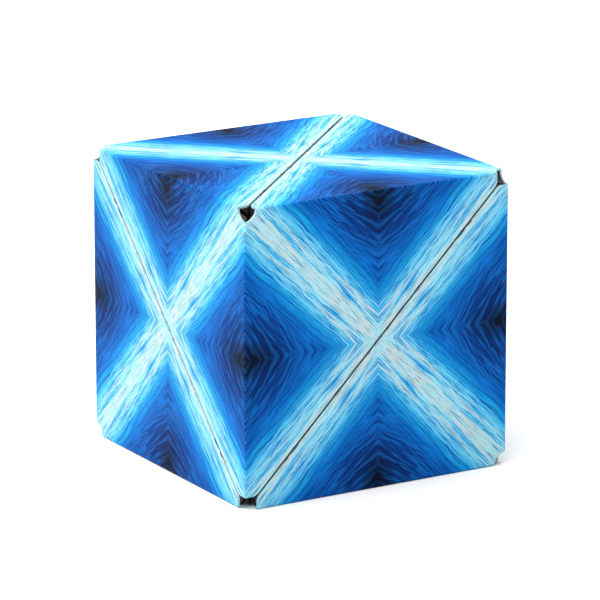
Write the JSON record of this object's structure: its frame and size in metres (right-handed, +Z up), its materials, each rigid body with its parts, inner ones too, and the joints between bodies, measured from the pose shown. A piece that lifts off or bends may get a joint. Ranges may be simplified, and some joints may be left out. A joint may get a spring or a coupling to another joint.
{
  "type": "folding puzzle cube",
  "caption": "Desk-toy cube of hollow half pyramids joined in a ring by a printed hinging film. It opens out from two opposite corners, and hidden magnets hold its shape.",
  "frame": {"origin": "centre of the bottom face, on the surface that the cube rests on", "axes": "+Z up, +X right, -Y front; the front's slit runs from its lower left to its upper right corner"},
  "size_m": [0.057, 0.057, 0.057],
  "materials": {
    "film": "printed blue ripple pattern, satin",
    "cover": "fine moulded texture",
    "shell": "fine moulded texture",
    "magnet": "nickel plated"
  },
  "bodies": {
    "top_left": {"film_top_left": "film", "cover_top_left": "cover", "shell_top_left": "shell", "magnets_top_left": "magnet"},
    "left_upper": {"film_left_upper": "film", "cover_left_upper": "cover", "shell_left_upper": "shell", "magnets_left_upper": "magnet"},
    "front_upper": {"film_front_upper": "film", "cover_front_upper": "cover", "shell_front_upper": "shell", "magnets_front_upper": "magnet"},
    "top_right": {"film_top_right": "film", "cover_top_right": "cover", "shell_top_right": "shell", "magnets_top_right": "magnet"},
    "right_upper": {"film_right_upper": "film", "cover_right_upper": "cover", "shell_right_upper": "shell", "magnets_right_upper": "magnet"},
    "front_lower": {"film_front_lower": "film", "cover_front_lower": "cover", "shell_front_lower": "shell", "magnets_front_lower": "magnet"},
    "bottom_right": {"film_bottom_right": "film", "cover_bottom_right": "cover", "shell_bottom_right": "shell", "magnets_bottom_right": "magnet"},
    "right_lower": {"film_right_lower": "film", "cover_right_lower": "cover", "shell_right_lower": "shell", "magnets_right_lower": "magnet"},
    "back_lower": {"film_back_lower": "film", "cover_back_lower": "cover", "shell_back_lower": "shell", "magnets_back_lower": "magnet"},
    "bottom_left": {"film_bottom_left": "film", "cover_bottom_left": "cover", "shell_bottom_left": "shell", "magnets_bottom_left": "magnet"},
    "left_lower": {"film_left_lower": "film", "cover_left_lower": "cover", "shell_left_lower": "shell", "magnets_left_lower": "magnet"},
    "back_upper": {"film_back_upper": "film", "cover_back_upper": "cover", "shell_back_upper": "shell", "magnets_back_upper": "magnet"}
  },
  "joints": [
    {"name": "fold_front_bottom", "type": "hinge", "parent": "bottom_right", "child": "front_lower", "pos_m": [0, -0.0281, 0.0004], "axis": [1, 0, 0], "range_deg": [0, 12.7]},
    {"name": "fold_right_bottom", "type": "hinge", "parent": "bottom_right", "child": "right_lower", "pos_m": [0.0281, 0, 0.0004], "axis": [0, 1, 0], "range_deg": [0, 15]},
    {"name": "fold_front_right", "type": "hinge", "parent": "front_lower", "child": "right_upper", "pos_m": [0.0281, -0.0281, 0.0285], "axis": [0, 0, -1], "range_deg": [0, 15]},
    {"name": "fold_right_top", "type": "hinge", "parent": "right_upper", "child": "top_right", "pos_m": [0.0281, 0, 0.0566], "axis": [0, 1, 0], "range_deg": [0, 12.75]},
    {"name": "fold_front_top", "type": "hinge", "parent": "top_right", "child": "front_upper", "pos_m": [0, -0.0281, 0.0566], "axis": [-1, 0, 0], "range_deg": [0, 15]},
    {"name": "fold_front_left", "type": "hinge", "parent": "front_upper", "child": "left_upper", "pos_m": [-0.0281, -0.0281, 0.0285], "axis": [0, 0, 1], "range_deg": [0, 12.75]},
    {"name": "fold_left_top", "type": "hinge", "parent": "left_upper", "child": "top_left", "pos_m": [-0.0281, 0, 0.0566], "axis": [0, -1, 0], "range_deg": [0, 15]},
    {"name": "fold_back_top", "type": "hinge", "parent": "top_left", "child": "back_upper", "pos_m": [0, 0.0281, 0.0566], "axis": [1, 0, 0], "range_deg": [0, 12.75]},
    {"name": "fold_back_left", "type": "hinge", "parent": "back_upper", "child": "left_lower", "pos_m": [-0.0281, 0.0281, 0.0285], "axis": [0, 0, -1], "range_deg": [0, 15]},
    {"name": "fold_left_bottom", "type": "hinge", "parent": "left_lower", "child": "bottom_left", "pos_m": [-0.0281, 0, 0.0004], "axis": [0, 1, 0], "range_deg": [0, 12.75]},
    {"name": "fold_back_bottom", "type": "hinge", "parent": "bottom_left", "child": "back_lower", "pos_m": [0, 0.0281, 0.0004], "axis": [-1, 0, 0], "range_deg": [0, 15]}
  ],
  "couplings": [
    {"joint": "fold_right_bottom", "follows": "fold_front_bottom", "ratio": 1.1765},
    {"joint": "fold_front_right", "follows": "fold_front_bottom", "ratio": 1.1765},
    {"joint": "fold_right_top", "follows": "fold_front_bottom", "ratio": 1},
    {"joint": "fold_front_top", "follows": "fold_front_bottom", "ratio": 1.1765},
    {"joint": "fold_front_left", "follows": "fold_front_bottom", "ratio": 1},
    {"joint": "fold_left_top", "follows": "fold_front_bottom", "ratio": 1.1765},
    {"joint": "fold_back_top", "follows": "fold_front_bottom", "ratio": 1},
    {"joint": "fold_back_left", "follows": "fold_front_bottom", "ratio": 1.1765},
    {"joint": "fold_left_bottom", "follows": "fold_front_bottom", "ratio": 1},
    {"joint": "fold_back_bottom", "follows": "fold_front_bottom", "ratio": 1.1765}
  ]
}
